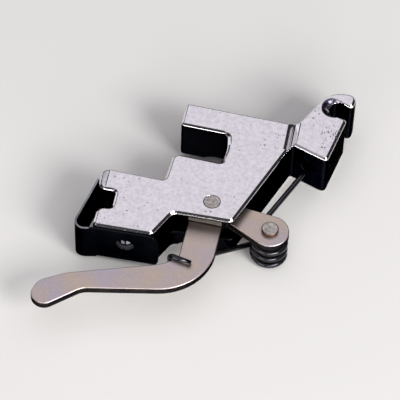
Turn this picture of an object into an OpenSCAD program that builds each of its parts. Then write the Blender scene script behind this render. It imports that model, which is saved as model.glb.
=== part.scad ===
// Presser foot holder with a sprung release lever, lying on its side.
// X runs towards the foot block and Y towards the hook. Z is the axis of every pin.
// The origin is on the axis of the foot pin groove, in the face that it lies on.
// Outlines are drawn from the lever pivot and then moved into that frame.

/* [Shank] */
// Thickness of the cast shank
shank_t = 6.6; // [6.2:0.1:8]
// Chamfer round both faces
edge_bevel = 0.34; // [0.1:0.02:0.38]
// Lever pivot to the wall that the lever comes out of
recess_drop = 2.45; // [2.2:0.05:2.8]
// Lever pivot to the corner between that wall and the diagonal
corner_reach = 2.95; // [2.7:0.05:3.1]
// Angle of the diagonal wall
diagonal_angle = 69.2; // [68:0.2:70]

/* [Screw slot] */
// Width of the slot for the clamp screw
slot_w = 4.6; // [4.2:0.1:4.9]
// Lever pivot to the near side of the slot
slot_rise = 6.25; // [6:0.05:6.8]
// Lever pivot to the closed end of the slot
slot_end = 0.3; // [0.2:0.05:1]
// Lever pivot to the ends of the two prongs
prong_reach = 5.95; // [5.2:0.05:7]
// Width of the far prong
prong_w = 3.6; // [2.8:0.05:3.8]
// Lean of the slot and the prongs from X
slot_lean = 2.8; // [1:0.2:4]
// Width of the chamfer at the closed end of the slot
slot_chamfer = 0.55; // [0.4:0.05:0.8]

/* [Guide bar block] */
// Lever pivot to the far end of the block
block_reach = 13.85; // [13:0.05:15]
// How far the lower nose stands back from the upper one
nose_setback = 0.55; // [0:0.05:0.8]
// Length of the flat slope on top of the upper nose
nose_slope = 0.9; // [0.5:0.05:1.2]
// Lever pivot to the top of the block
block_rise = 2; // [1.6:0.05:2.4]
// Lever pivot to the bottom of the block
block_drop = 6.2; // [5.8:0.05:6.6]
// Length of the block along its bottom
block_len = 7.75; // [7.3:0.05:8]
// Slope between the block and the lever's recess
block_slope = 64; // [58:1:68]
// Width of the notch for the guide bar
notch_w = 2.65; // [2.2:0.05:2.9]
// Depth of the notch from the upper nose
notch_depth = 2.27; // [2:0.05:3.4]
// Height of the lower nose
nose_h = 2.95; // [2.6:0.05:3.3]

/* [Foot block] */
// Lever pivot to the foot pin, along X
pin_x = 12.55; // [12.3:0.05:12.8]
// Lever pivot to the foot pin, along Y
pin_y = 17.5; // [17.2:0.05:17.8]
// Radius of the groove that the foot pin snaps into
groove_r = 1.08; // [1:0.01:1.12]
// Width of the groove's mouth
mouth_w = 2; // [1.8:0.05:2.1]
// Direction of the mouth
mouth_angle = -17; // [-20:1:-14]
// Reach of the hook's tip past the groove's axis
hook_reach = 1.6; // [1.3:0.05:1.8]
// Reach of the lip below the mouth
lip_reach = 1.8; // [1.7:0.05:2.1]
// Wall of the hook behind the groove
hook_wall = 1.33; // [1.1:0.05:1.6]
// Wall of the hook over the groove
crest_wall = 1.64; // [1.4:0.05:1.8]
// Lever pivot to the neck below the foot block
neck_rise = 10.8; // [10.4:0.05:11.2]
// Radius of the dish round the groove
dish_r = 1.62; // [1.5:0.02:1.8]
// How far the dish lies behind the groove
dish_shift = 0.45; // [0:0.05:0.45]
// Depth of the dish
dish_depth = 0.5; // [0.3:0.05:0.9]
// Width of the V between the plate and the foot block
valley_w = 1.4; // [0.9:0.05:1.5]
// Depth of that V
valley_depth = 0.6; // [0.3:0.05:0.8]

/* [Underside] */
// Radius of the presser bar that the channel fits
bar_r = 3.2; // [3:0.05:3.6]
// Depth of the channel
bar_depth = 1.4; // [0.8:0.05:1.5]
// Step that thins the prongs
step_depth = 0.9; // [0.4:0.05:1.2]

/* [Lever] */
// Thickness of the lever's sheet
sheet_t = 1.05; // [0.9:0.05:1.1]
// Cast skin over the lever's root
skin_t = 0.65; // [0.5:0.05:0.8]
// Height of the gap that the root turns in
gap_h = 3.1; // [2.6:0.05:3.6]
// Radius of the root round the pivot
root_r = 2.3; // [2:0.05:2.35]
// Width of the lever's root
root_w = 4.05; // [3.6:0.05:4.2]
// Lever pivot to the ear pin, along X
ear_x = 7.38; // [7.2:0.02:7.6]
// Lever pivot to the ear pin, below it
ear_drop = 1.66; // [1.5:0.02:1.8]
// Radius of the ear's round end
ear_r = 2.32; // [2.1:0.02:2.5]
// Lever pivot to the middle of the tail's round end, along X
tail_reach = 17.1; // [16:0.1:18.5]
// Lever pivot to the middle of that end, below it
tail_drop = 15.85; // [15:0.1:16.5]
// Radius of the tail's round end
tail_r = 1.5; // [1.3:0.05:1.7]
// Ear pin to the inner heel of the bend, below it
heel_drop = 6.15; // [5.8:0.05:6.4]
// Length of the flap folded over the root
flap_len = 3.6; // [3.2:0.1:3.8]
// Outer radius of the bend between the root and the tail
bend_r = 7; // [6:0.1:8]
// Width of the tail where it is narrowest
tail_w = 2.45; // [2.1:0.05:2.8]

/* [Pins] */
// Radius of the pivot pin at the plate's face
pivot_r = 0.98; // [0.8:0.02:1.1]
// Radius of the pivot pin's shoulder
shoulder_r = 1.5; // [1.3:0.05:1.7]
// Radius of the spool that the spring is wound on
spool_r = 1.4; // [1.2:0.02:1.5]
// Radius of the ear pin in the ear
ear_shaft_r = 0.8; // [0.6:0.02:0.9]
// Radius of the ear pin's head
ear_head_r = 1.04; // [1:0.02:1.3]
// Height of that head
ear_head_h = 0.55; // [0.3:0.05:0.7]
// Running clearance of the lever on its pin
run_gap = 0.04; // [0.02:0.01:0.08]
// Clearance of a pin in its seat
seat_gap = 0.01; // [0.01:0.01:0.03]

/* [Lock spring] */
// Diameter of the wire
wire_d = 0.68; // [0.56:0.02:0.7]
// Mean radius of the coil
coil_r = 1.98; // [1.9:0.02:2.1]
// How far beside the groove's axis the lock rod's line passes
rod_aside = 0.885; // [0.7:0.005:1]
// Height of the lock rod
rod_z = 3.4; // [3.3:0.05:3.45]
// Radius of the hole that the rod slides in
rod_hole_r = 0.62; // [0.56:0.02:0.7]
// Radius of that hole's wide mouth
rod_mouth_r = 0.8; // [0.72:0.02:0.84]
// Clearance of the rod's tip from the foot pin
tip_gap = 0.05; // [0.03:0.01:0.1]

/* [Guide spring] */
// Thickness of the strip
strip_t = 0.25; // [0.2:0.01:0.3]
// Width of the strip
strip_w = 5.6; // [5:0.05:6]
// Mean radius of the strip's curl
curl_r = 1.05; // [0.9:0.05:1.1]
// Lean of the strip's free arm
arm_angle = 78; // [76:0.2:80]
// Radius of the rivet's dome
dome_r = 1.15; // [0.9:0.05:1.3]
// Height of the dome
dome_h = 0.5; // [0.3:0.05:0.6]
// Radius of the rivet's shank
rivet_r = 0.6; // [0.4:0.05:0.8]

/* [Hidden] */
$fn = 64;
overcut = 1;
arc_error = 0.012;

groove_at = [pin_x, pin_y];
mouth_dir = [cos(mouth_angle), sin(mouth_angle)];
mouth_up = [-sin(mouth_angle), cos(mouth_angle)];
slot_far = slot_rise + slot_w;
plate_top = slot_far + prong_w;
block_end = block_len - block_reach;
slope_run = (block_drop - recess_drop) / tan(block_slope);
notch_low = nose_h - block_drop;
neck = [corner_reach + (neck_rise + recess_drop) / tan(diagonal_angle), neck_rise];
foot_angle = -21.4;
foot_side = 78.4;
hook_side = 62.6;
hook_back = groove_at + polar(groove_r + hook_wall, hook_side + 90);
crest_y = pin_y + groove_r + crest_wall;
lip = groove_at - mouth_w / 2 * mouth_up + lip_reach * mouth_dir;
foot_right = lines_meet(neck, foot_angle, lip, foot_side);
valley_x = neck[0] - 0.25;

gap_top = shank_t - skin_t;
gap_low = gap_top - gap_h;
fold_gap = 0.05;
sheet_top = gap_top - fold_gap - sheet_t + 0.05;
sheet_low = sheet_top - sheet_t;
screw_x = slot_end - 1.5;

ear_at = [ear_x, -ear_drop];
wire_r = wire_d / 2;
ear_to_groove = groove_at - ear_at;
rod_angle = atan2(ear_to_groove[1], ear_to_groove[0])
    - asin((coil_r + rod_aside) / norm(ear_to_groove));
rod_dir = [cos(rod_angle), sin(rod_angle)];
rod_side = [-sin(rod_angle), cos(rod_angle)];
rod_foot = ear_at + coil_r * rod_side;
rod_reach = (groove_at - rod_foot) * rod_dir;
rod_offset = abs((groove_at - rod_foot) * rod_side);
tip_radius = groove_r + wire_r + tip_gap;
rod_mouth_at = (lines_meet(rod_foot, rod_angle, neck, foot_angle) - rod_foot) * rod_dir;
rod_len = rod_reach - sqrt(pow(tip_radius, 2) - pow(rod_offset, 2));

strip_low = (shank_t - strip_w) / 2 + 0.05;
strip_right = block_end + 0.85;
rivet_at = [block_end - 3.25, -block_drop, strip_low + strip_w / 2 + 0.25];

// Vector helpers
function unit(v) = v / norm(v);
function cross2(a, b) = a[0] * b[1] - a[1] * b[0];
function polar(r, a) = [r * cos(a), r * sin(a)];

// Where a line through p at angle a meets a line through q at angle b
function lines_meet(p, a, q, b) =
    p + polar(cross2(q - p, polar(1, b)) / cross2(polar(1, a), polar(1, b)), a);

// A closed outline from corners [x, y, radius], with each corner an arc
function rounded(c) = [for (i = [0 : len(c) - 1])
    each corner_arc(xy(c[(i + len(c) - 1) % len(c)]), xy(c[i]), xy(c[(i + 1) % len(c)]), c[i][2])];
function xy(p) = [p[0], p[1]];
function corner_arc(before, at, after, r) =
    r == 0 ? [at] : let (u = unit(at - before), v = unit(after - at),
         turn = atan2(cross2(u, v), u * v), start = at - r * tan(abs(turn) / 2) * u,
         centre = start + sign(turn) * r * [-u[1], u[0]],
         steps = ceil(abs(turn) / (2 * acos(1 - arc_error / r))),
         first = atan2(start[1] - centre[1], start[0] - centre[0]))
    [for (k = [0 : steps]) centre + polar(r, first + turn * k / steps)];

// An outline moved inwards, each point by its own width, with mitred corners
function inset(p, widths) = [for (i = [0 : len(p) - 1])
    let (u = unit(p[i] - p[(i + len(p) - 1) % len(p)]), v = unit(p[(i + 1) % len(p)] - p[i]),
         m = [-u[1] - v[1], u[0] + v[0]])
    p[i] + widths[i] * m / (1 + u * v)];

// Triangles that fill a flat outline, found by cutting off one convex corner at a time
function triangles(p, ids) = len(ids) == 3 ? [ids] :
    let (n = len(ids), k = first_ear(p, ids, 0))
    concat([[ids[(k + n - 1) % n], ids[k], ids[(k + 1) % n]]],
           triangles(p, [for (i = [0 : n - 1]) if (i != k) ids[i]]));
function first_ear(p, ids, k) = is_ear(p, ids, k) ? k : first_ear(p, ids, k + 1);
function is_ear(p, ids, k) =
    let (n = len(ids), a = p[ids[(k + n - 1) % n]], b = p[ids[k]], c = p[ids[(k + 1) % n]])
    cross2(b - a, c - b) > 0 && len([for (i = ids) if (is_inside(p[i], a, b, c)) i]) == 0;
function is_inside(q, a, b, c) =
    cross2(b - a, q - a) > 0 && cross2(c - b, q - b) > 0 && cross2(a - c, q - c) > 0;

// A straight plate with both faces chamfered, the upper one by its own width at each point
module bevelled_plate(outline, high, bevel, upper) {
    n = len(outline);
    low_face = inset(outline, [for (w = upper) bevel]);
    face = inset(outline, upper);
    points = concat([for (p = low_face) [each p, 0]], [for (p = outline) [each p, bevel]],
                    [for (i = [0 : n - 1]) [each outline[i], high - max(bevel, upper[i] / 2)]],
                    [for (p = face) [each p, high]]);
    walls = [for (j = [0 : 2]) for (i = [0 : n - 1])
        let (k = (i + 1) % n) [j * n + i, (j + 1) * n + i, (j + 1) * n + k, j * n + k]];
    all = [for (i = [0 : n - 1]) i];
    base = triangles(low_face, all);
    lid = [for (t = triangles(face, all)) [3 * n + t[2], 3 * n + t[1], 3 * n + t[0]]];
    polyhedron(points, concat(walls, base, lid), convexity = 8);
}

// A round wire swept along a path, with a normal carried from ring to ring
function path_tangent(p, i) = unit(p[min(i + 1, len(p) - 1)] - p[max(i - 1, 0)]);
function carried(n, t) = unit(n - (n * t) * t);
function normals(p, i = 0, n = [0, 0, 1]) =
    i == len(p) ? [] : let (m = carried(n, path_tangent(p, i))) concat([m], normals(p, i + 1, m));
function rounded_ends(path, r) =
    let (last = len(path) - 1, a = path_tangent(path, 0), b = path_tangent(path, last))
    concat([for (t = end_steps) path[0] + r * (1 - t) * a], [for (i = [1 : last - 1]) path[i]],
           [for (t = reversed(end_steps)) path[last] - r * (1 - t) * b]);
end_steps = [0, 0.15, 0.5, 1 - 0.001];
module wire(line, r, sides) {
    path = rounded_ends(line, r);
    n = normals(path);
    last = len(path) - 1;
    size = [for (i = [0 : last]) let (k = min(i, last - i))
        k < len(end_steps) ? r * max(0.25, sin(acos(1 - end_steps[k]))) : r];
    points = [for (i = [0 : last]) let (t = path_tangent(path, i), b = cross(t, n[i]))
        for (k = [0 : sides - 1])
            path[i] + size[i] * (cos(360 * k / sides) * n[i] + sin(360 * k / sides) * b)];
    skin = [for (i = [0 : last - 1]) for (k = [0 : sides - 1]) let (m = (k + 1) % sides)
        [i * sides + k, (i + 1) * sides + k, (i + 1) * sides + m, i * sides + m]];
    caps = [[for (k = [0 : sides - 1]) k], [for (k = [sides - 1 : -1 : 0]) last * sides + k]];
    polyhedron(points, concat(skin, caps), convexity = 8);
}

// Moves what is drawn from the lever pivot into the part's frame
module in_frame() {
    translate([-pin_x, -pin_y, 0]) children();
}

// A point x along the slot's direction from the level y over the pivot
function leaning(x, y) = [x, y - x * tan(slot_lean)];

// Outline of the casting, from its lower left corner and round by the hook
function shank_outline() = rounded([
    [nose_setback - block_reach, -block_drop, 0.5],
    [block_end, -block_drop, 0.8],
    [block_end + slope_run, -recess_drop, 1],
    [corner_reach, -recess_drop, 0.8],
    [each neck, 0.3],
    [each foot_right, 0.5],
    [each lip, 0.5],
    [each (groove_at - mouth_w / 2 * mouth_up), 0],
    [each (groove_at + mouth_w / 2 * mouth_up), 0],
    [each (groove_at + mouth_w / 2 * mouth_up + hook_reach * mouth_dir), 0.45],
    [pin_x + hook_reach + 0.6, crest_y, 0.9],
    [each lines_meet(hook_back, hook_side, [0, crest_y], 0), 3],
    [each lines_meet(hook_back, hook_side, [0, plate_top - 0.1], 0), 0.4],
    [each leaning(valley_x - valley_w / 2, plate_top), 0],
    [each leaning(-prong_reach, plate_top), 0.5],
    [each leaning(-prong_reach, slot_far), 0.45],
    [each leaning(slot_end - 0.35, slot_far), 0.7],
    [slot_end, slot_far - slot_w / 2, 4],
    [each leaning(slot_end - 0.35, slot_rise), 0.4],
    [each leaning(-prong_reach, slot_rise), 0.9],
    [each leaning(-prong_reach - 0.3, block_rise), 0.4],
    [each leaning(-block_reach, block_rise), 1.1],
    [-block_reach, notch_low + notch_w, 0.95],
    [notch_depth - block_reach, notch_low + notch_w, 0.5],
    [notch_depth - block_reach, notch_low, 0.5],
    [nose_setback - block_reach, notch_low, 0.95]
]);

// Gap in the casting for the lever's root, open at the recess and the diagonal
module lever_gap() {
    stop_gap = 0.05;
    top = root_r + 0.4;
    translate([0, 0, gap_low]) linear_extrude(gap_h) polygon([
        [-root_w - 1.2, -recess_drop - overcut], [-root_w - 0.2, -recess_drop + 0.6],
        [-root_w + 0.9, top - 0.8], [-root_w + 1.7, top], [root_w / 2, top],
        [root_w / 2 + 0.7, ear_top_y(root_w / 2 + 0.7) + stop_gap],
        [ear_x, ear_top_y(ear_x) + stop_gap], [ear_x, -recess_drop - overcut]
    ]);
}

// The dish is sunk into the upper face, a little behind the groove
module groove_cut() {
    translate([each groove_at, -overcut]) cylinder(r = groove_r, h = shank_t + 2 * overcut);
    translate([pin_x - dish_shift, pin_y, shank_t - dish_depth])
        cylinder(r1 = groove_r, r2 = dish_r, h = dish_depth + 0.05);
}

// Width of the upper chamfer: it widens round the closed end of the slot
function chamfer_width(p) =
    let (fade = 0.9, in_slot = p[1] > slot_rise - fade && p[1] < slot_far + fade && p[0] < slot_end + fade)
    in_slot ? edge_bevel + (slot_chamfer - edge_bevel) * max(0, min(1, (p[0] - slot_end + fade) / fade))
            : edge_bevel;

// Gentle slope on top of the upper nose
module nose_cut() {
    fall = 0.15;
    translate([-block_reach, block_rise + 1, shank_t]) rotate([90, 0, 0])
        linear_extrude(block_rise + 1 - notch_low - notch_w / 2)
            polygon([[nose_slope, 0], [-0.5, 0.5], [-0.5, -fall * (1 + 0.5 / nose_slope)]]);
}

module rod_hole() {
    start = coil_r + 3;
    translate([each rod_foot, rod_z]) rotate([0, 90, rod_angle]) {
        translate([0, 0, start]) cylinder(r = rod_hole_r, h = rod_reach - start);
        translate([0, rod_mouth_r - rod_hole_r - 0.05, start])
            cylinder(r = rod_mouth_r, h = rod_mouth_at + 1.2 - start);
    }
}

// V across the upper face where the plate meets the foot block
module valley_cut() {
    long = plate_top - neck_rise + 2;
    translate([valley_x, neck_rise - 1, shank_t]) rotate([-90, 0, 0])
        linear_extrude(long)
            polygon([[-valley_w / 2 - 0.1, -0.1 * valley_depth / valley_w * 2],
                     [valley_w / 2 + 0.1, -0.1 * valley_depth / valley_w * 2], [0, valley_depth]]);
}

// Seat for the presser bar: a shallow step across the prongs and a round channel
module bar_seat() {
    seat_right = screw_x + bar_r + 0.3;
    step_low = slot_rise - 1.6;
    translate([-prong_reach - overcut, step_low, -overcut])
        cube([seat_right + prong_reach + overcut, plate_top, step_depth + overcut]);
    translate([screw_x, -block_drop - overcut, bar_depth - bar_r]) rotate([-90, 0, 0])
        cylinder(r = bar_r, h = plate_top + block_drop + 2 * overcut);
}

module body() {
    outline = shank_outline();
    in_frame() color("silver") difference() {
        bevelled_plate(outline, shank_t, edge_bevel, [for (p = outline) chamfer_width(p)]);
        lever_gap();
        groove_cut();
        rod_hole();
        valley_cut();
        nose_cut();
        bar_seat();
        translate([0, 0, -overcut]) cylinder(r = shoulder_r + seat_gap, h = gap_low + 2 * overcut);
        cylinder(r = pivot_r + seat_gap, h = shank_t + overcut);
        translate(rivet_at) rotate([-90, 0, 0]) translate([0, 0, -overcut])
            cylinder(r = rivet_r + seat_gap, h = rivet_len() + overcut);
    }
}

// Upper edge of the ear, which rests on the end of the gap
ear_slope = -8;
ear_low_slope = -30.2;
function ear_top_y(x) =
    -ear_drop + ear_r / cos(ear_slope) + (x - ear_x) * tan(ear_slope);

// Outline of the lever: root, tail with its swept heel, and the neck of the ear
root_left = -root_w / 2 - 0.4;
root_right = root_w / 2 - 0.42;
heel = [root_left - 0.15, -ear_drop - heel_drop];
tail_end = [-tail_reach, -tail_drop];
tail_slope = 10.1;
tail_top = [heel + [-2.02, -1.32], tail_end + tail_r * [1.33, 2.23]];
tail_run = unit(tail_top[1] - tail_top[0]);
tail_side = tail_top[0] + 0.85 * (tail_top[1] - tail_top[0]) + tail_w * [-tail_run[1], tail_run[0]];
function lever_outline() = rounded([
    [root_left + 0.1, 0.9, 0.6],
    [each heel, 0.9],
    [each tail_top[0], 3],
    [each tail_top[1], 4],
    [each (tail_end + tail_r * [-0.63, 1.1]), 1.6],
    [each (tail_end + tail_r * [-1.17, -0.5]), 1.5],
    [each (tail_end + tail_r * [0.23, -1.27]), 1.5],
    [each tail_side, 2.2],
    [each lines_meet(tail_side, tail_slope, [root_right, 0], 90), bend_r],
    [root_right, -ear_drop - 0.7, 0.4],
    [each lines_meet(ear_at + polar(ear_r, ear_low_slope - 90), ear_low_slope,
                     [root_right + 0.5, 0], 90), 0.3],
    [each (ear_at + polar(ear_r, ear_low_slope - 90)), 0],
    [each (ear_at + polar(ear_r, ear_slope + 90)), 0],
    [root_w / 2, ear_top_y(root_w / 2), 0]
]);

// The root is doubled by a flap folded over it
module release_lever() {
    flap_low = 0.22 - recess_drop;
    in_frame() color("tan") difference() {
        union() {
            translate([0, 0, sheet_low]) linear_extrude(sheet_t) union() {
                polygon(lever_outline());
                circle(r = root_r);
                translate(ear_at) circle(r = ear_r);
            }
            translate([0, 0, sheet_top - fold_gap]) linear_extrude(sheet_t) polygon([
                leaning(root_left, flap_low), leaning(root_right, flap_low),
                leaning(root_right, flap_low + flap_len), leaning(root_left, flap_low + flap_len)]);
        }
        translate([0, 0, sheet_low - overcut])
            cylinder(r = pivot_r + run_gap, h = 2 * sheet_t + 2 * overcut);
        translate([each ear_at, sheet_low - overcut])
            cylinder(r = ear_shaft_r + seat_gap, h = sheet_t + 2 * overcut);
    }
}

// The pivot pin is pressed in from the underside until it is flush with the upper face
module lever_pivot_pin() {
    shoulder_top = sheet_low - 0.02;
    in_frame() color("darkgray") union() {
        translate([0, 0, bar_depth]) cylinder(r = shoulder_r, h = shoulder_top - bar_depth);
        translate([0, 0, bar_depth]) cylinder(r = pivot_r, h = shank_t - bar_depth);
    }
}

// The ear pin is a spool with its end peened over the ear
module ear_pin() {
    crown = 0.12;
    spool_low = 0.05;
    in_frame() color("darkgray") translate([each ear_at, 0]) rotate_extrude() polygon([
        [0, spool_low], [spool_r - crown, spool_low], [spool_r, spool_low + crown],
        [spool_r, sheet_low], [ear_shaft_r, sheet_low], [ear_shaft_r, sheet_top],
        [ear_head_r, sheet_top], [ear_head_r, sheet_top + ear_head_h - crown],
        [ear_head_r - crown, sheet_top + ear_head_h], [0, sheet_top + ear_head_h]
    ]);
}

// The wire of the lock spring: rod, coil, arm and the hook over the lever's inner edge
hook_bend = 0.45;
hook_at = heel + [-0.97, -0.12];
hook_end = hook_at + [2.58, -0.65];
coil_last_z = 0.62;
coil_end_z = wire_r + 0.03;
coil_flat = 0.79;
coil_steps = 66;
arm_bearing = atan2(hook_at[1] + ear_drop, hook_at[0] - ear_x) + 360;
coil_from = rod_angle + 90;
coil_to = arm_bearing - acos(coil_r / norm(hook_at - ear_at)) + 1080;
function coil_z(s) = s < coil_flat
    ? rod_z + (coil_last_z - rod_z) * s / coil_flat
    : coil_last_z + (coil_end_z - coil_last_z) * (s - coil_flat) / (1 - coil_flat);
function coil_point(s) =
    [each (ear_at + polar(coil_r, coil_from + (coil_to - coil_from) * s)), coil_z(s)];
function lock_path() =
    let (under = sheet_low - wire_r - 0.08, over = sheet_top + wire_r + 0.02, b = hook_bend,
         back = unit(ear_at - hook_at), on = unit(hook_end - hook_at))
    concat([[each (rod_foot + rod_len * rod_dir), rod_z], [each (rod_foot + 1.5 * rod_dir), rod_z]],
           [for (i = [0 : coil_steps]) coil_point(i / coil_steps)],
           [for (a = [0 : 30 : 90]) [each (hook_at + b * (1 - sin(a)) * back), under + b * (1 - cos(a))]],
           [for (a = [0 : 30 : 90]) [each (hook_at + b * (1 - cos(a)) * on), over - b * (1 - sin(a))]],
           [[each hook_end, over]]);

module lock_spring() {
    in_frame() color("gray") wire(lock_path(), wire_r, 12);
}

// Strip of spring steel: flat on the block, curled, and up across the notch's mouth
function strip_line() =
    let (wall_y = -block_drop - strip_t / 2, free = [-block_reach - 0.22, block_rise - 0.97],
         leave = [-block_reach + 1.1, wall_y],
         curl = lines_meet(free, arm_angle, leave, 10))
    concat([[strip_right, wall_y]], open_corner([strip_right, wall_y], [each leave, 0.8], curl),
           open_corner(leave, [each curl, curl_r], free), [free]);
function open_corner(before, c, after) = corner_arc(before, xy(c), after, c[2]);
function thick(path, t) = concat(
    [for (i = [0 : len(path) - 1]) path[i] + t / 2 * side_of(path, i)],
    [for (i = [len(path) - 1 : -1 : 0]) path[i] - t / 2 * side_of(path, i)]);
function side_of(p, i) = let (t = path_tangent(p, i)) [t[1], -t[0]];
function reversed(p) = [for (i = [len(p) - 1 : -1 : 0]) p[i]];
module guide_spring() {
    corner = 1.2;
    in_frame() color("dimgray") difference() {
        translate([0, 0, strip_low]) linear_extrude(strip_w) polygon(thick(strip_line(), strip_t));
        for (z = [strip_low, strip_low + strip_w - corner])
            translate([strip_right - corner, -block_drop + 0.5, z]) rotate([90, 0, 0]) difference() {
                cube([corner + 1, corner, 1]);
                translate([0, z == strip_low ? corner : 0, -1]) cylinder(r = corner, h = 3);
            }
        translate(rivet_at) rotate([90, 0, 0]) translate([0, 0, -overcut])
            cylinder(r = rivet_r + seat_gap, h = 2 * overcut);
    }
}

// Domed rivet that holds the strip
function rivet_len() = 2.6;
module guide_spring_rivet() {
    ball = (pow(dome_r, 2) + pow(dome_h, 2)) / (2 * dome_h);
    in_frame() color("lightgray") translate(rivet_at) rotate([90, 0, 0]) union() {
        translate([0, 0, -rivet_len()]) cylinder(r = rivet_r, h = rivet_len() + strip_t);
        translate([0, 0, strip_t]) intersection() {
            translate([0, 0, dome_h - ball]) sphere(r = ball);
            cylinder(r = dome_r + 1, h = dome_h + 1);
        }
    }
}

body();
release_lever();
lever_pivot_pin();
ear_pin();
lock_spring();
guide_spring();
guide_spring_rivet();
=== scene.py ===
import math

import bpy
from mathutils import Matrix, Vector


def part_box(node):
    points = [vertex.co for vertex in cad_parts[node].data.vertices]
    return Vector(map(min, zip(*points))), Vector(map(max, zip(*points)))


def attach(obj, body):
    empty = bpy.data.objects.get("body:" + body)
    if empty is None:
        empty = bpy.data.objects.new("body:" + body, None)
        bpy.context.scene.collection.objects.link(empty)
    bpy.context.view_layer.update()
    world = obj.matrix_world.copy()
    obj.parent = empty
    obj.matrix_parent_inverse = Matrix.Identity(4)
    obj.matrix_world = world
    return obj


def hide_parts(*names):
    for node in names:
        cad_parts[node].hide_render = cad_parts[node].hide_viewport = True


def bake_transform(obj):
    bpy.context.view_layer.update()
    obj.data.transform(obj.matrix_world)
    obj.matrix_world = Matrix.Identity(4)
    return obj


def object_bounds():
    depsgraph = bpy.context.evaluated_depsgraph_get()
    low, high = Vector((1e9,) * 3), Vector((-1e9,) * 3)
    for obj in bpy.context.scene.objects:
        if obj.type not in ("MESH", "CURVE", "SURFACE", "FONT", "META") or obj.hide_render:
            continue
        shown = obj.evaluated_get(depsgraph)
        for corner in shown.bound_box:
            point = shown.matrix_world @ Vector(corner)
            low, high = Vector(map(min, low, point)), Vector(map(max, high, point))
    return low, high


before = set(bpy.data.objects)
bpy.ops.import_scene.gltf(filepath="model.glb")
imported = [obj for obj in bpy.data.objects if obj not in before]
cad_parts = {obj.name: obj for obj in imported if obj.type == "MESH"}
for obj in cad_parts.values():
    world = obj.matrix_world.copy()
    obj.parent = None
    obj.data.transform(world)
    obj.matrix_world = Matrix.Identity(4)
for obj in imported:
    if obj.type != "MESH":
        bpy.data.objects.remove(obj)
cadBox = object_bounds()
mm = 0.001
print("frame loaded:", ", ".join(sorted(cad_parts)))


def linearColour(hexCode):
    parts = [int(hexCode[i:i + 2], 16) / 255 for i in (1, 3, 5)]
    return tuple(c / 12.92 if c <= 0.04045 else ((c + 0.055) / 1.055) ** 2.4 for c in parts) + (1,)


def newMaterial(name):
    material = bpy.data.materials.new(name)
    material.use_nodes = True
    tree = material.node_tree
    return material, tree, tree.nodes["Principled BSDF"]


# Adds one node: settings are its properties, inputs are numbers or the sockets that feed it
def addNode(tree, kind, settings=None, inputs=None):
    node = tree.nodes.new(kind)
    for name, value in (settings or {}).items():
        setattr(node, name, value)
    for name, value in (inputs or {}).items():
        if isinstance(value, bpy.types.NodeSocket):
            tree.links.new(value, node.inputs[name])
        else:
            node.inputs[name].default_value = value
    return node


def pick(*pieces):
    bpy.ops.object.select_all(action="DESELECT")
    for piece in pieces:
        piece.select_set(True)
    bpy.context.view_layer.objects.active = pieces[0]


def applyModifier(piece, kind, **settings):
    pick(piece)
    modifier = piece.modifiers.new(kind.title(), kind)
    for name, value in settings.items():
        setattr(modifier, name, value)
    bpy.ops.object.modifier_apply(modifier=modifier.name)


# A copy of a CAD node whose loose triangles are merged and whose flat faces are whole again
def copyNode(node, name):
    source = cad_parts[node]
    piece = bpy.data.objects.new(name, source.data.copy())
    bpy.context.scene.collection.objects.link(piece)
    piece.data.materials.clear()
    pick(piece)
    bpy.ops.object.mode_set(mode="EDIT")
    bpy.ops.mesh.select_all(action="SELECT")
    bpy.ops.mesh.remove_doubles(threshold=0.0001 * mm)
    bpy.ops.mesh.dissolve_limited(angle_limit=math.radians(0.3))
    bpy.ops.object.mode_set(mode="OBJECT")
    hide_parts(node)
    return piece


# Opens a piece in edit mode with only the faces that a test picks
def editFaces(piece, test):
    pick(piece)
    bpy.ops.object.mode_set(mode="EDIT")
    bpy.ops.mesh.select_mode(type="FACE")
    bpy.ops.mesh.select_all(action="DESELECT")
    bpy.ops.object.mode_set(mode="OBJECT")
    for face in piece.data.polygons:
        face.select = test(face.center / mm, face.normal)
    bpy.ops.object.mode_set(mode="EDIT")


# Cuts the faces that a test picks along a plane, through a point in mm and facing one way
def cutFaces(piece, point, way, test):
    editFaces(piece, test)
    bpy.ops.mesh.bisect(plane_co=Vector(point) * mm, plane_no=way)
    bpy.ops.object.mode_set(mode="OBJECT")


# Closes the round hole whose wall stands within reach of a pin's axis, so that each flat face is whole
def closeHole(piece, centre, reach):
    editFaces(piece, lambda place, normal: abs(normal.z) < 0.1 and (place.xy - centre.xy).length < reach)
    bpy.ops.mesh.delete(type="FACE")
    bpy.ops.mesh.select_all(action="SELECT")
    bpy.ops.mesh.fill_holes(sides=0)
    bpy.ops.mesh.select_all(action="SELECT")
    bpy.ops.mesh.dissolve_limited(angle_limit=math.radians(0.3))
    bpy.ops.mesh.normals_make_consistent(inside=False)
    bpy.ops.object.mode_set(mode="OBJECT")


# Drills a closed hole again once the edges have been rounded
def drill(piece, centre, radius, low, high):
    bpy.ops.mesh.primitive_cylinder_add(vertices=64, radius=radius * mm, depth=(high - low) * mm,
                                        location=(centre.x * mm, centre.y * mm, (low + high) / 2 * mm))
    bit = bpy.context.object
    applyModifier(piece, "BOOLEAN", operation="DIFFERENCE", solver="MANIFOLD", object=bit)
    bpy.data.objects.remove(bit)


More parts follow.
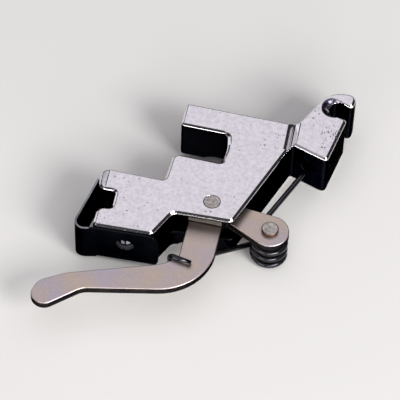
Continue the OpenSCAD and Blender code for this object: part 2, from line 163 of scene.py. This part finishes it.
# Rounds the edges that turn by more than an angle, where a test on their two ends allows it
def roundEdges(piece, width, segments=3, turn=28, where=lambda start, end: True):
    pick(piece)
    bpy.ops.object.mode_set(mode="EDIT")
    bpy.ops.mesh.select_mode(type="EDGE")
    bpy.ops.mesh.select_all(action="DESELECT")
    bpy.ops.mesh.edges_select_sharp(sharpness=math.radians(turn))
    bpy.ops.object.mode_set(mode="OBJECT")
    corners = piece.data.vertices
    for edge in piece.data.edges:
        start, end = (corners[i].co / mm for i in edge.vertices)
        edge.select = edge.select and where(start, end)
    for part in (*corners, *piece.data.polygons):
        part.select = False
    bpy.ops.object.mode_set(mode="EDIT")
    bpy.ops.mesh.bevel(offset=width * mm, segments=segments, affect="EDGES",
                       clamp_overlap=False, loop_slide=False)
    bpy.ops.object.mode_set(mode="OBJECT")


# Takes off the materials that a copy or a cut left behind and puts on its own
def wear(piece, *materials):
    piece.data.materials.clear()
    for material in materials:
        piece.data.materials.append(material)


def smoothShade(piece, turn=34):
    pick(piece)
    bpy.ops.object.shade_smooth_by_angle(angle=math.radians(turn))
    applyModifier(piece, "WEIGHTED_NORMAL", mode="FACE_AREA", weight=100, keep_sharp=True)


# Gives the faces that a test picks another of the piece's materials
def paintFaces(piece, slot, test):
    for face in piece.data.polygons:
        if test(face.center / mm, face.normal):
            face.material_index = slot


finish = {
    "faceTone": "#EBE7EA", "faceRoughness": 0.13, "poreTone": "#77757B",
    # Where the pores crowd: x, y, reach and how much, on the upper face
    "poorSpots": ((-5.9, -4.2, 1.4, 0.12), (-6.1, -7.2, 1.4, 0.12), (0.3, -4.3, 1.4, 0.2),
                  (-0.1, -6.2, 1.2, 0.2), (-1.9, -1.2, 0.9, 0.12), (-12.3, -18.8, 0.9, 0.12)),
    # Short strokes of the same pores: middle, reach and how much
    "strokeSpot": ((0.15, -4.1), 2.8, 0.55), "strokeWay": 118,
    # The walls' dark tone is painted shade
    "wallShadeTone": "#24252A", "wallRoughness": 0.12,
    "leverTones": ("#D4C2B2", "#CFC4CB"), "leverRoughness": 0.4,
    # Painted shade beside the flap, where the sheet mirrors the dark flap and wall: full above one y, gone
    # below another, and only left of an x
    "flapShadeTone": "#4A4238", "flapShadeBand": (-19.9, -23.0, -10.2), "flapShadeAmount": 0.8,
    "shearShadeTones": ("#4A4644", "#37343A"), "flapTones": ("#C9C4BC", "#A8A39B"),
    "pinTones": ("#D0C8C4", "#DED4CE"), "pinSideShadeTones": ("#8A7568", "#6A584C"),
    "wireShadeTones": ("#4A4A4F", "#3A3A3E"), "stripTones": ("#1A1B1F", "#222327"),
    "stripEdgeTones": ("#A4A5AA", "#85868B"), "lipHighlightTones": ("#A9A9AE", "#8F8F95"),
    "rivetShadeTones": ("#3E3E44", "#34343A"), "dishShadeTones": ("#4E4A5C", "#6E6A7C"), "darkGlance": "#26262A",
}


# Bright chrome over a zinc die casting: a clear mirror with a faint cloud, and dark specks where pores show
def chromeFace():
    material, tree, shader = newMaterial("chromePlatedFace")
    place = addNode(tree, "ShaderNodeTexCoord").outputs["Object"]
    # Pores are 0.1 to 0.3 mm across, ragged, and crowd together where the zinc filled the mould last
    ragged = addNode(tree, "ShaderNodeTexNoise", None,
                     {"Vector": place, "Scale": 1 / (0.16 * mm), "Detail": 1.0})
    torn = addNode(tree, "ShaderNodeVectorMath", {"operation": "MULTIPLY_ADD"},
                   {0: ragged.outputs["Color"], 1: (0.22 * mm, 0.22 * mm, 0), 2: place})
    pores = addNode(tree, "ShaderNodeTexVoronoi", {"feature": "F1", "voronoi_dimensions": "2D"},
                    {"Vector": torn.outputs["Vector"], "Scale": 1 / (0.8 * mm), "Randomness": 1.0})
    poreSize = addNode(tree, "ShaderNodeTexNoise", None,
                       {"Vector": place, "Scale": 1 / (1.7 * mm), "Detail": 2.0})
    size = poreSize.outputs["Fac"]
    for x, y, reach, amount in finish["poorSpots"]:
        away = addNode(tree, "ShaderNodeVectorMath", {"operation": "DISTANCE"},
                       {0: place, 1: (x * mm, y * mm, cadBox[1].z)})
        crowd = addNode(tree, "ShaderNodeMapRange", None,
                        {"Value": away.outputs["Value"], "From Max": reach * mm,
                         "To Min": amount, "To Max": 0.0})
        size = addNode(tree, "ShaderNodeMath", {"operation": "ADD"},
                       {0: size, 1: crowd.outputs["Result"]}).outputs["Value"]
    limit = addNode(tree, "ShaderNodeMapRange", None,
                    {"Value": size, "From Min": 0.46, "From Max": 0.7, "To Min": 0.0, "To Max": 0.16})
    depth = addNode(tree, "ShaderNodeMath", {"operation": "SUBTRACT"},
                    {0: limit.outputs["Result"], 1: pores.outputs["Distance"]})
    pore = addNode(tree, "ShaderNodeMapRange", {"interpolation_type": "SMOOTHSTEP"},
                   {"Value": depth.outputs["Value"], "From Min": 0.0, "From Max": 0.08})
    # Strokes are 0.1 mm wide and 0.5 mm long, at one place of the foot block only
    spot, reach, amount = finish["strokeSpot"]
    turned = addNode(tree, "ShaderNodeMapping", {"vector_type": "TEXTURE"},
                     {"Vector": torn.outputs["Vector"], "Scale": (1.0 * mm, 0.25 * mm, mm),
                      "Rotation": (0, 0, math.radians(finish["strokeWay"]))})
    strokes = addNode(tree, "ShaderNodeTexVoronoi", {"feature": "F1", "voronoi_dimensions": "2D"},
                      {"Vector": turned.outputs["Vector"], "Scale": 1.0, "Randomness": 1.0})
    strokeAway = addNode(tree, "ShaderNodeVectorMath", {"operation": "DISTANCE"},
                         {0: place, 1: (spot[0] * mm, spot[1] * mm, cadBox[1].z)})
    strokeLimit = addNode(tree, "ShaderNodeMapRange", None,
                          {"Value": strokeAway.outputs["Value"], "From Max": reach * mm,
                           "To Min": amount, "To Max": 0.0})
    strokeSize = addNode(tree, "ShaderNodeMath", {"operation": "MULTIPLY"},
                         {0: strokeLimit.outputs["Result"], 1: poreSize.outputs["Fac"]})
    strokeDepth = addNode(tree, "ShaderNodeMath", {"operation": "SUBTRACT"},
                          {0: strokeSize.outputs["Value"], 1: strokes.outputs["Distance"]})
    stroke = addNode(tree, "ShaderNodeMapRange", {"interpolation_type": "SMOOTHSTEP"},
                     {"Value": strokeDepth.outputs["Value"], "From Min": 0.0, "From Max": 0.12})
    pit = addNode(tree, "ShaderNodeMath", {"operation": "MAXIMUM"},
                  {0: pore.outputs["Result"], 1: stroke.outputs["Result"]})
    grain = addNode(tree, "ShaderNodeTexNoise", None,
                    {"Vector": place, "Scale": 1 / (0.45 * mm), "Detail": 3.0})
    tone = addNode(tree, "ShaderNodeMapRange", None,
                   {"Value": grain.outputs["Fac"], "From Min": 0.3, "From Max": 0.7,
                    "To Min": 0.8, "To Max": 1.0})
    plated = addNode(tree, "ShaderNodeMix", {"data_type": "RGBA", "blend_type": "MULTIPLY"},
                     {"Factor": 1.0, "A": linearColour(finish["faceTone"]), "B": tone.outputs["Result"]})
    pitted = addNode(tree, "ShaderNodeMix", {"data_type": "RGBA"},
                     {"Factor": pit.outputs["Value"], "A": plated.outputs["Result"],
                      "B": linearColour(finish["poreTone"])})
    swell = addNode(tree, "ShaderNodeTexNoise", None,
                    {"Vector": place, "Scale": 1 / (2.2 * mm), "Detail": 2.0})
    wave = addNode(tree, "ShaderNodeBump", None,
                   {"Strength": 0.5, "Distance": 0.03 * mm, "Height": swell.outputs["Fac"]})
    dent = addNode(tree, "ShaderNodeBump", {"invert": True},
                   {"Strength": 0.25, "Distance": 0.05 * mm, "Height": pit.outputs["Value"],
                    "Normal": wave.outputs["Normal"]})
    tree.links.new(pitted.outputs["Result"], shader.inputs["Base Color"])
    tree.links.new(dent.outputs["Normal"], shader.inputs["Normal"])
    shader.inputs["Metallic"].default_value = 1.0
    shader.inputs["Roughness"].default_value = finish["faceRoughness"]
    return material


# Painted shade: the walls get a dark chrome tone, and a dark tone at low angles, standing in for the shade
# they mirror
def chromeWallShade():
    material, tree, shader = newMaterial("chromePlatedWallShade")
    place = addNode(tree, "ShaderNodeTexCoord").outputs["Object"]
    skin = addNode(tree, "ShaderNodeTexNoise", None,
                   {"Vector": place, "Scale": 1 / (0.9 * mm), "Detail": 2.0})
    tone = addNode(tree, "ShaderNodeMapRange", None,
                   {"Value": skin.outputs["Fac"], "From Min": 0.3, "From Max": 0.7,
                    "To Min": 0.75, "To Max": 1.0})
    dark = addNode(tree, "ShaderNodeMix", {"data_type": "RGBA", "blend_type": "MULTIPLY"},
                   {"Factor": 1.0, "A": linearColour(finish["wallShadeTone"]), "B": tone.outputs["Result"]})
    wave = addNode(tree, "ShaderNodeBump", None,
                   {"Strength": 0.6, "Distance": 0.03 * mm, "Height": skin.outputs["Fac"]})
    tree.links.new(dark.outputs["Result"], shader.inputs["Base Color"])
    tree.links.new(wave.outputs["Normal"], shader.inputs["Normal"])
    shader.inputs["Metallic"].default_value = 1.0
    shader.inputs["Roughness"].default_value = finish["wallRoughness"]
    shader.inputs["Specular Tint"].default_value = linearColour(finish["darkGlance"])
    return material


# Satin metals: two tones in a soft cloud under a fine grain, at the grain's real size.
# Drag draws the grain out along an axis where a shear or a slitter has run, glance is the tone at low
# angles, and the last argument is where a band of painted shade lies
def satinMetal(name, tones, roughness, grainSize, contrast=0.08, bump=0.01, cloudSize=4, drag=(1, 1, 1),
               glance="#FFFFFF", shadeBand=None):
    material, tree, shader = newMaterial(name)
    place = addNode(tree, "ShaderNodeTexCoord").outputs["Object"]
    cloud = addNode(tree, "ShaderNodeTexNoise", None,
                    {"Vector": place, "Scale": 1 / (cloudSize * mm), "Detail": 2.0})
    drawn = addNode(tree, "ShaderNodeMapping", {"vector_type": "TEXTURE"}, {"Vector": place, "Scale": drag})
    grain = addNode(tree, "ShaderNodeTexNoise", None,
                    {"Vector": drawn.outputs["Vector"], "Scale": 1 / (grainSize * mm), "Detail": 3.0})
    spread = addNode(tree, "ShaderNodeMapRange", None,
                     {"Value": cloud.outputs["Fac"], "From Min": 0.35, "From Max": 0.65})
    hue = addNode(tree, "ShaderNodeMix", {"data_type": "RGBA"},
                  {"Factor": spread.outputs["Result"],
                   "A": linearColour(tones[0]), "B": linearColour(tones[1])})
    shade = addNode(tree, "ShaderNodeMapRange", None,
                    {"Value": grain.outputs["Fac"], "From Min": 0.3, "From Max": 0.7,
                     "To Min": 1 - 2 * contrast, "To Max": 1.0})
    colour = addNode(tree, "ShaderNodeMix", {"data_type": "RGBA", "blend_type": "MULTIPLY"},
                     {"Factor": 1.0, "A": hue.outputs["Result"], "B": shade.outputs["Result"]})
    # Painted shade: a dark band on the sheet beside the flap
    if shadeBand:
        full, gone, rightEnd = shadeBand
        along = addNode(tree, "ShaderNodeSeparateXYZ", None, {"Vector": place})
        fade = addNode(tree, "ShaderNodeMapRange", {"interpolation_type": "SMOOTHSTEP"},
                       {"Value": along.outputs["Y"], "From Min": gone * mm, "From Max": full * mm,
                        "To Max": finish["flapShadeAmount"]})
        inside = addNode(tree, "ShaderNodeMath", {"operation": "LESS_THAN"},
                         {0: along.outputs["X"], 1: rightEnd * mm})
        shadeMask = addNode(tree, "ShaderNodeMath", {"operation": "MULTIPLY"},
                        {0: fade.outputs["Result"], 1: inside.outputs["Value"]})
        colour = addNode(tree, "ShaderNodeMix", {"data_type": "RGBA"},
                         {"Factor": shadeMask.outputs["Value"], "A": colour.outputs["Result"],
                          "B": linearColour(finish["flapShadeTone"])})
    dull = addNode(tree, "ShaderNodeMapRange", None,
                   {"Value": cloud.outputs["Fac"], "From Min": 0.3, "From Max": 0.7,
                    "To Min": roughness - 0.05, "To Max": roughness + 0.05})
    relief = addNode(tree, "ShaderNodeBump", None,
                     {"Strength": 0.5, "Distance": bump * mm, "Height": grain.outputs["Fac"]})
    tree.links.new(colour.outputs["Result"], shader.inputs["Base Color"])
    tree.links.new(dull.outputs["Result"], shader.inputs["Roughness"])
    tree.links.new(relief.outputs["Normal"], shader.inputs["Normal"])
    shader.inputs["Metallic"].default_value = 1.0
    shader.inputs["Specular Tint"].default_value = linearColour(glance)
    return material


dark = finish["darkGlance"]
plateFace, plateWallShade = chromeFace(), chromeWallShade()
# Tumbled nickel on the lever, warm and dull, with painted shade beside the flap; and its edges as the shear
# left them, in a darker tone that is painted shade, with a lighter one on the flap's front
satinNickel = satinMetal("satinNickelSheet", finish["leverTones"], finish["leverRoughness"], 0.18,
                         cloudSize=5, shadeBand=finish["flapShadeBand"])
shearedEdgeShade = satinMetal("shearedSheetEdgeShade", finish["shearShadeTones"], 0.35, 0.12, 0.2, 0.03, 2, (1, 1, 8), dark)
flapFront = satinMetal("shearedFlapFront", finish["flapTones"], 0.5, 0.12, 0.3, 0.05, 2, (10, 1, 1))
# Rougher chrome in the dish round the groove, in a dark violet tone that is painted shade
dullDishShade = satinMetal("dullChromeDishShade", finish["dishShadeTones"], 0.25, 0.4, 0.2, 0.05, 1.2, glance=dark)
# Bare steel, hammered over on the ends of the pins; their sides are painted darker as painted shade, brown
# round the ear pin and in the dark edge tone round the pivot pin
peenedSteel = satinMetal("peenedSteel", finish["pinTones"], 0.45, 0.35, 0.25, 0.12, 0.8)
pinSideShade = satinMetal("pinSidePaintedShade", finish["pinSideShadeTones"], 0.4, 0.2, 0.2)
# Spring steels: drawn wire in a darkened tone that is painted shade, and strip that was blued, then polished
# and slit, bright at its slit edges, with a painted highlight along its lower front edge
drawnWireShade = satinMetal("drawnSpringWireShade", finish["wireShadeTones"], 0.15, 0.15)
bluedStrip = satinMetal("polishedSpringSteel", finish["stripTones"], 0.16, 0.4, glance=dark)
stripEdge = satinMetal("slitStripEdge", finish["stripEdgeTones"], 0.3, 0.2, 0.15)
lipHighlight = satinMetal("steelLipPaintedHighlight", finish["lipHighlightTones"], 0.55, 0.2)
# Chrome on the rivet's dome, darkened like the walls' as painted shade, so that it mirrors the pale floor
# darkly
domeChromeShade = satinMetal("chromedRivetShade", finish["rivetShadeTones"], 0.1, 0.6, 0.03, glance=dark)
print("finishes made")

pivotAt, earAt = Vector((-12.55, -17.5, 0)), Vector((-5.17, -19.16, 0))
shankPlan = {
    # Below faceFrom, or leaning further than chamferLean, the casting gets the dark wall chrome, which is
    # painted shade
    "height": 6.6, "round": 0.1, "faceFrom": 5.6, "chamferLean": 0.2,
    # Chamfers that are raised by flatter along their lower edge: x from, x to, y from, y to
    "flatter": 0.1,
    "flatterAt": ((-24.25, -23.95, -20.4, -18.4), (-99, -25.75, -99, -21.5), (-99, -25.75, -17.3, 99)),
    # The V between the plate and the foot block has its bottom at valleyX, below valleyTop
    "valleyX": -4.82, "valleyTop": 6.2, "valleyLow": 5.8, "valleyRound": 0.22,
    # The tip of the upper nose leans down from leafX on
    "leafX": -25.5, "leafLine": 0.05,
    # The foot block's long edge towards the hook, which the dish breaks through: a point and the way out
    "longEdge": (Vector((-3.89, -3.23, 0)), Vector((-0.88, 0.48, 0))),
    # The dish round the groove: how far its rim goes up under the hook and down at the side away from it
    "dishFar": 0.27, "dishNear": -0.3, "rimTop": 6.5, "grooveRadius": 1.08,
    # Where the dish gets its painted shade: between two angles round a middle, within reach
    "dishMiddle": (-0.45, 0), "dishShadeFrom": 98, "dishShadeTo": 300, "dishReach": 1.6,
}


# Falls off to both sides of an angle, the faster the narrower
def lobe(around, middle, narrow):
    return max(0, math.cos(math.radians(around - middle) * narrow))


shank = copyNode("body", "chromedShank")
for corner in shank.data.vertices:
    spot = corner.co / mm
    # The chamfers that face left lie a little flatter than the others
    if 6.2 < spot.z < 6.3 and any(left < spot.x < right and low < spot.y < high
                                  for left, right, low, high in shankPlan["flatterAt"]):
        corner.co.z += shankPlan["flatter"] * mm
    # The dish runs out shallow under the hook and falls away on the other side of the groove
    if 6 < spot.z < 6.45 and spot.xy.length < shankPlan["grooveRadius"] + 0.005:
        around = math.degrees(math.atan2(spot.y, spot.x)) % 360
        far = lobe(around, 90, 1.4) * shankPlan["dishFar"]
        near = lobe(around, 195, 1.3) * shankPlan["dishNear"] * (140 < around < 265)
        corner.co.z = min(spot.z + far + near, shankPlan["rimTop"]) * mm


def inValley(start, end):
    middle = (start + end) / 2
    return (abs(middle.x - shankPlan["valleyX"]) < 0.15 and abs(start.z - end.z) < 0.05
            and shankPlan["valleyLow"] < middle.z < shankPlan["valleyTop"] and (start - end).length > 2)


def onLeafLine(start, end):
    return all(abs(tip.x - shankPlan["leafX"]) < 0.02 and tip.z > 6.59 and -18 < tip.y < -15
               for tip in (start, end))


def offLongEdge(start, end):
    foot, outward = shankPlan["longEdge"]
    middle = (start + end) / 2
    return not (middle.z > 6.5 and -4.6 < middle.x < 1 and (middle - foot).xy.dot(outward.xy) > -0.4)


roundEdges(shank, shankPlan["valleyRound"], 6, 28, inValley)
roundEdges(shank, shankPlan["leafLine"], 1, 5, onLeafLine)
roundEdges(shank, shankPlan["round"], 3, 34, offLongEdge)
# The rounding leaves two corners a hair past the flat faces
for corner in shank.data.vertices:
    corner.co.z = min(max(corner.co.z, 0), shankPlan["height"] * mm)
wear(shank, plateFace, plateWallShade, dullDishShade)
# Painted shade: walls and steeply leaning chamfers get the dark wall chrome
paintFaces(shank, 1, lambda place, normal: normal.z < shankPlan["chamferLean"]
           or place.z < shankPlan["faceFrom"])
# The back is polished like the front
paintFaces(shank, 0, lambda place, normal: normal.z < -0.6 and place.z < 2)
# Painted shade in the crease: the right half of the V's rounded bottom gets the dark wall chrome
paintFaces(shank, 1, lambda place, normal: -0.62 < normal.x < -0.02 and abs(normal.y) < 0.1
           and abs(place.x - shankPlan["valleyX"]) < shankPlan["valleyRound"])
# The step before the upper nose's tip gets the dark wall chrome too, as a thin dark line, and so does the
# lower lip of the nose's front, as painted shade
paintFaces(shank, 1, lambda place, normal: abs(place.x - shankPlan["leafX"]) < 0.06
           and -17.7 < place.y < -15.3 and place.z > 6.55)
paintFaces(shank, 1, lambda place, normal: normal.y < -0.6 and normal.z < 0.6 and place.y < -23.3)


def inDishShade(place, normal):
    fromMiddle = place.xy - Vector(shankPlan["dishMiddle"])
    around = math.degrees(math.atan2(fromMiddle.y, fromMiddle.x)) % 360
    return (shankPlan["grooveRadius"] < place.xy.length and 5.6 < place.z < 6.57
            and fromMiddle.length < shankPlan["dishReach"]
            and shankPlan["dishShadeFrom"] < around < shankPlan["dishShadeTo"])


# Painted shade on the dish's far part
paintFaces(shank, 2, inDishShade)
smoothShade(shank)
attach(shank, "holder")
print("shank:", len(shank.data.polygons), "faces")

# The sheet is rounded outside the gap in the casting, where it can be seen
leverPlan = {"round": 0.16, "pinHole": 1.02, "earHole": 0.81, "gapY": -20.1, "gapX": -9.6,
             # The flap's front is painted dark up to this height, a painted shadow line under the flap, and
             # bare above
             "flapShadowTo": 5.06}
lever = copyNode("release_lever", "releaseLever")
low, high = (corner.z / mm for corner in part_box("release_lever"))
for centre in (pivotAt, earAt):
    closeHole(lever, centre, 1.1)


def outsideGap(start, end):
    middle = (start + end) / 2
    return abs(start.z - end.z) < 0.02 and (middle.y < leverPlan["gapY"] or middle.x > leverPlan["gapX"])


roundEdges(lever, leverPlan["round"], 3, 28, outsideGap)
cutFaces(lever, (0, 0, leverPlan["flapShadowTo"]), (0, 0, 1),
         lambda place, normal: normal.y < -0.9 and 5 < place.z < 5.8 and place.y > -20.2)
drill(lever, pivotAt, leverPlan["pinHole"], low - 1, high + 1)
drill(lever, earAt, leverPlan["earHole"], low - 1, high + 1)
wear(lever, satinNickel, shearedEdgeShade, flapFront)
# Painted shade: the sheet's sides take the darker edge tone, and below the cut the flap's front keeps it as
# a painted shadow line
paintFaces(lever, 1, lambda place, normal: abs(normal.z) < 0.3)
paintFaces(lever, 2, lambda place, normal: normal.y < -0.9 and place.z > leverPlan["flapShadowTo"])
smoothShade(lever)
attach(lever, "lever")

pinPlan = {"round": 0.04}
for node, name, body in (("lever_pivot_pin", "leverPivotPin", "holder"), ("ear_pin", "earPin", "lever")):
    pin = copyNode(node, name)
    roundEdges(pin, pinPlan["round"])
    wear(pin, peenedSteel, pinSideShade if node == "ear_pin" else shearedEdgeShade)
    # Painted shade on the pins' sides
    paintFaces(pin, 1, lambda place, normal: normal.z < 0.9)
    smoothShade(pin)
    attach(pin, body)
print("lever and pins made")

# The wire is copied and finished where it lies, and is not put on any body
wire = copyNode("lock_spring", "lockSpringWire")
wear(wire, drawnWireShade)
smoothShade(wire, 60)
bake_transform(wire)

stripPlan = {
    # The lower edge in front is rounded more than the others: it lies below lipZ and before frontY
    "round": 0.03, "lip": 0.16, "lipZ": 0.6, "frontY": -23.9, "sharpTo": 0.8,
    # The rim of the upper edge is bright left of darkTopX, and along the arm, which lies behind armY; in
    # front it keeps the strip's dark tone as painted shade under the plate
    "darkTopX": -26.2, "armY": -22,
    # A painted highlight, a light line along the front, runs below a height and from an x to the right
    "highlightTo": 0.88, "highlightFrom": -25.3,
}
strip = copyNode("guide_spring", "guideStrip")


def onLip(start, end):
    return all(tip.z < stripPlan["lipZ"] and tip.y < stripPlan["frontY"] for tip in (start, end))


roundEdges(strip, stripPlan["lip"], 3, 28, onLip)
roundEdges(strip, stripPlan["round"], 2, 28,
           lambda start, end: not (start.z < stripPlan["sharpTo"] and end.z < stripPlan["sharpTo"]))
cutFaces(strip, (stripPlan["darkTopX"], 0, 0), (1, 0, 0), lambda place, normal: normal.z > 0.3)
cutFaces(strip, (0, 0, stripPlan["highlightTo"]), (0, 0, 1), lambda place, normal: normal.y < -0.5)
cutFaces(strip, (stripPlan["highlightFrom"], 0, 0), (1, 0, 0), lambda place, normal: normal.y < -0.5)
wear(strip, bluedStrip, stripEdge, lipHighlight)
# Painted shade: the front of the upper rim stays dark
paintFaces(strip, 1, lambda place, normal: normal.z > 0.3
           and (place.x < stripPlan["darkTopX"] or place.y > stripPlan["armY"]))
# Painted highlight along the strip's lower front edge
paintFaces(strip, 2, lambda place, normal: place.z < stripPlan["highlightTo"] and normal.y < -0.3
           and place.x > stripPlan["highlightFrom"])
smoothShade(strip)
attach(strip, "holder")

rivet = copyNode("guide_spring_rivet", "stripRivet")
wear(rivet, domeChromeShade)
smoothShade(rivet)
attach(rivet, "holder")
print("springs and rivet made")

stagePlan = {
    "floorTone": "#E0DEDA", "floorRoughness": 0.8, "floorSize": 3.0,
    # A dim room with soft windows: (direction, full within, gone past, strength), angles in degrees
    "roomTone": "#F6F4FC", "dim": 0.03,
    "windows": {
        "overhead": ((0.0, 0.08, 1.0), 37, 53, 0.93),
        "leftLow": ((-0.87, 0.49, 0.05), 12, 26, 1.1),
        "frontLeft": ((-0.58, -0.62, 0.53), 6, 18, 0.35),
    },
    # name: (direction from the part, distance, width, height, power)
    "lights": {
        "frontRightSoftbox": ((0.67, -0.49, 0.56), 0.6, 0.24, 0.24, 2.8),
        "frontLeftCard": ((-0.3, -0.9, 0.3), 0.6, 0.3, 0.2, 1.0),
        "frontRightCard": ((0.42, -0.86, 0.3), 0.6, 0.32, 0.24, 1.6),
    },
}
bpy.ops.mesh.primitive_plane_add(size=stagePlan["floorSize"], location=(0, 0, 0))
floor = bpy.context.object
floor.name = "studioFloor"
paper, paperTree, paperShader = newMaterial("palePaper")
paperShader.inputs["Base Color"].default_value = linearColour(stagePlan["floorTone"])
paperShader.inputs["Roughness"].default_value = stagePlan["floorRoughness"]
wear(floor, paper)

world = bpy.data.worlds.new("studioRoom")
bpy.context.scene.world = world
world.use_nodes = True
roomTree = world.node_tree
roomTree.nodes["Background"].inputs["Color"].default_value = linearColour(stagePlan["roomTone"])
outward = addNode(roomTree, "ShaderNodeTexCoord").outputs["Generated"]
glow = stagePlan["dim"]
for way, full, gone, strength in stagePlan["windows"].values():
    facing = addNode(roomTree, "ShaderNodeVectorMath", {"operation": "DOT_PRODUCT"},
                     {0: outward, 1: Vector(way).normalized()})
    window = addNode(roomTree, "ShaderNodeMapRange", {"interpolation_type": "SMOOTHSTEP"},
                     {"Value": facing.outputs["Value"], "From Min": math.cos(math.radians(gone)),
                      "From Max": math.cos(math.radians(full)), "To Max": strength})
    glow = addNode(roomTree, "ShaderNodeMath", {"operation": "ADD"},
                   {0: glow, 1: window.outputs["Result"]}).outputs["Value"]
roomTree.links.new(glow, roomTree.nodes["Background"].inputs["Strength"])

middle = (cadBox[0] + cadBox[1]) / 2
for name, (way, far, wide, high, power) in stagePlan["lights"].items():
    lamp = bpy.data.lights.new(name, "AREA")
    lamp.shape, lamp.size, lamp.size_y, lamp.energy = "RECTANGLE", wide, high, power
    stand = bpy.data.objects.new(name, lamp)
    bpy.context.scene.collection.objects.link(stand)
    stand.location = middle + far * Vector(way).normalized()
    stand.rotation_euler = (-Vector(way)).to_track_quat("-Z", "Y").to_euler()

# The lens and place that make the pivot's end fall where the photograph has it
cameraPlan = {"lens": 216.0, "sensor": 36.0, "away": 0.2867, "down": 51.9, "turn": 9.05, "roll": -2.04,
              "anchor": Vector((-12.55, -17.5, 6.6)) * mm, "anchorPixel": (212.0, 201.4), "pixels": 400}
down, turn, roll = (math.radians(cameraPlan[k]) for k in ("down", "turn", "roll"))
level = Vector((math.cos(turn), math.sin(turn), 0))
ahead = Vector((-math.sin(turn), math.cos(turn), 0))
gaze = math.cos(down) * ahead - Vector((0, 0, math.sin(down)))
upright = level.cross(gaze)
right = math.cos(roll) * level - math.sin(roll) * upright
up = math.sin(roll) * level + math.cos(roll) * upright
focal = cameraPlan["lens"] / cameraPlan["sensor"] * cameraPlan["pixels"]
half = cameraPlan["pixels"] / 2
ray = (gaze + (cameraPlan["anchorPixel"][0] - half) / focal * right
       - (cameraPlan["anchorPixel"][1] - half) / focal * up)
camera = bpy.data.objects.new("photoCamera", bpy.data.cameras.new("photoCamera"))
bpy.context.scene.collection.objects.link(camera)
camera.data.lens, camera.data.sensor_width = cameraPlan["lens"], cameraPlan["sensor"]
camera.data.clip_start, camera.data.clip_end = 0.01, 20
seat = cameraPlan["anchor"] - cameraPlan["away"] * ray
camera.matrix_world = Matrix(((right.x, up.x, -gaze.x, seat.x), (right.y, up.y, -gaze.y, seat.y),
                              (right.z, up.z, -gaze.z, seat.z), (0, 0, 0, 1)))
bpy.context.scene.camera = camera
bpy.context.scene.view_settings.view_transform = "Standard"
print("stage made")
